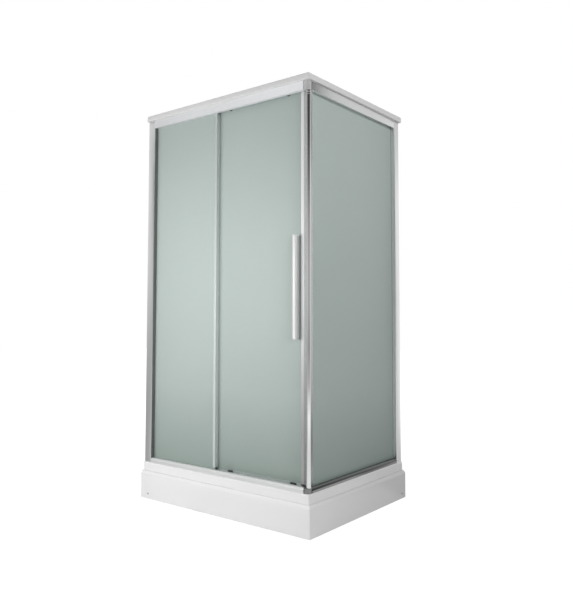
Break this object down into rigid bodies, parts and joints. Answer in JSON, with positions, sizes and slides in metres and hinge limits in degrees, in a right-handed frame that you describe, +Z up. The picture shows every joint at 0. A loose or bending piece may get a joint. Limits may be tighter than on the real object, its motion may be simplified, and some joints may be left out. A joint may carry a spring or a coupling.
{
  "type": "shower cabin",
  "caption": "Corner shower cabin with stepped white tray, satin glass in an aluminium frame, sliding door on rollers, chromed corner post, roof, waste, mixer and overhead shower.",
  "frame": {"origin": "middle of the whole cabin's outline in plan, on the floor under its feet", "axes": "+Z up, the sliding door faces -Y, +X to the right seen from the front, the side glass is at +X, the walls of the room are at -X and +Y"},
  "size_m": [1.159, 0.92, 2.15],
  "materials": {
    "acrylic": "glossy white sanitary acrylic",
    "board": "raw chipboard",
    "steel_tube": "grey powder-coated steel tube",
    "zinc": "zinc-plated steel",
    "dark_screw": "darkened steel screws",
    "black_rubber": "black rubber",
    "pipe_plastic": "white polypropylene",
    "satin_aluminium": "satin anodised aluminium extrusion",
    "chrome": "polished chrome",
    "joint_plastic": "grey moulded plastic",
    "frosted_glass": "satin grey-green safety glass",
    "wall_panel": "smooth white wall panel",
    "grey_seal": "dark grey vinyl",
    "clear_seal": "translucent vinyl",
    "dark_plastic": "dark moulded plastic",
    "wheel_nylon": "white nylon"
  },
  "bodies": {
    "cabin": {"tray": "acrylic", "apron": "acrylic", "apron_screws": "dark_screw", "base_board": "board", "tray_frame": "steel_tube", "foot_rods": "zinc", "foot_nuts": "zinc", "foot_pads": "black_rubber", "waste_body": "chrome", "waste_gasket": "black_rubber", "waste_trap": "pipe_plastic", "post_front_left": "satin_aluminium", "post_corner": "chrome", "post_back_right": "satin_aluminium", "post_back_left": "satin_aluminium", "rail_top_front": "satin_aluminium", "rail_top_side": "satin_aluminium", "wall_rails_top": "satin_aluminium", "rail_bottom_front": "satin_aluminium", "rail_bottom_side": "satin_aluminium", "wall_rails_bottom": "satin_aluminium", "corner_joints": "joint_plastic", "frame_screws": "zinc", "roof": "acrylic", "glass_fixed": "frosted_glass", "glass_side": "frosted_glass", "wall_back": "wall_panel", "wall_left": "wall_panel", "seal_fixed_left": "grey_seal", "seal_fixed_edge": "clear_seal", "seal_side": "clear_seal", "glass_clips": "dark_plastic", "magnet_post": "grey_seal", "door_buffers": "black_rubber", "mixer_body": "chrome", "riser_pipe": "chrome", "riser_bracket": "chrome"},
    "top_wheel_left": {"top_wheel_left": "wheel_nylon"},
    "top_wheel_right": {"top_wheel_right": "wheel_nylon"},
    "low_carrier_left": {"low_carrier_left": "dark_plastic"},
    "low_carrier_right": {"low_carrier_right": "dark_plastic"},
    "low_wheel_left": {"low_wheel_left": "wheel_nylon"},
    "low_wheel_right": {"low_wheel_right": "wheel_nylon"},
    "mixer_hub": {"mixer_hub": "chrome"},
    "mixer_lever": {"mixer_lever": "chrome"},
    "head_swivel": {"head_swivel": "chrome"},
    "shower_head": {"shower_head": "chrome"},
    "waste_cover": {"waste_cover": "chrome"},
    "door": {"glass_door": "frosted_glass", "door_profile": "chrome", "magnet_door": "grey_seal", "seal_door_left": "clear_seal", "seal_door_bottom": "clear_seal", "roller_caps": "chrome", "roller_bolts": "zinc", "low_housings": "dark_plastic", "handle_bar": "chrome", "handle_bolts": "chrome"}
  },
  "joints": [
    {"name": "door_slide", "type": "slide", "parent": "cabin", "child": "door", "axis": [-1, 0, 0], "range_m": [0, 0.42]},
    {"name": "top_wheel_left_spin", "type": "hinge", "parent": "door", "child": "top_wheel_left", "pos_m": [0.0265, -0.377, 2.082], "axis": [0, -1, 0], "continuous": true},
    {"name": "top_wheel_right_spin", "type": "hinge", "parent": "door", "child": "top_wheel_right", "pos_m": [0.4065, -0.377, 2.082], "axis": [0, -1, 0], "continuous": true},
    {"name": "low_carrier_left_lift", "type": "slide", "parent": "door", "child": "low_carrier_left", "axis": [0, 0, 1], "range_m": [0, 0.006], "stiffness_N_per_m": 300, "springref_m": -0.004},
    {"name": "low_carrier_right_lift", "type": "slide", "parent": "door", "child": "low_carrier_right", "axis": [0, 0, 1], "range_m": [0, 0.006], "stiffness_N_per_m": 300, "springref_m": -0.004},
    {"name": "low_wheel_left_spin", "type": "hinge", "parent": "low_carrier_left", "child": "low_wheel_left", "pos_m": [0.0345, -0.377, 0.2133], "axis": [0, -1, 0], "continuous": true},
    {"name": "low_wheel_right_spin", "type": "hinge", "parent": "low_carrier_right", "child": "low_wheel_right", "pos_m": [0.4345, -0.377, 0.2133], "axis": [0, -1, 0], "continuous": true},
    {"name": "mixer_turn", "type": "hinge", "parent": "cabin", "child": "mixer_hub", "pos_m": [0.0045, 0.336, 1.08], "axis": [0, -1, 0], "range_deg": [-50, 50]},
    {"name": "mixer_lift", "type": "hinge", "parent": "mixer_hub", "child": "mixer_lever", "pos_m": [0.0045, 0.327, 1.08], "axis": [-1, 0, 0], "range_deg": [0, 25]},
    {"name": "head_tilt_fore", "type": "hinge", "parent": "cabin", "child": "head_swivel", "pos_m": [0.0045, 0.041, 1.971], "axis": [1, 0, 0], "range_deg": [-15, 15]},
    {"name": "head_tilt_side", "type": "hinge", "parent": "head_swivel", "child": "shower_head", "pos_m": [0.0045, 0.041, 1.959], "axis": [0, 1, 0], "range_deg": [-15, 15]},
    {"name": "waste_cover_lift", "type": "slide", "parent": "cabin", "child": "waste_cover", "axis": [0, 0, 1], "range_m": [0, 0.04]}
  ],
  "couplings": [
    {"joint": "top_wheel_left_spin", "follows": "door_slide", "rad_per_m": 86.957},
    {"joint": "top_wheel_right_spin", "follows": "door_slide", "rad_per_m": 86.957},
    {"joint": "low_wheel_left_spin", "follows": "door_slide", "rad_per_m": 111.11},
    {"joint": "low_wheel_right_spin", "follows": "door_slide", "rad_per_m": 111.11}
  ]
}
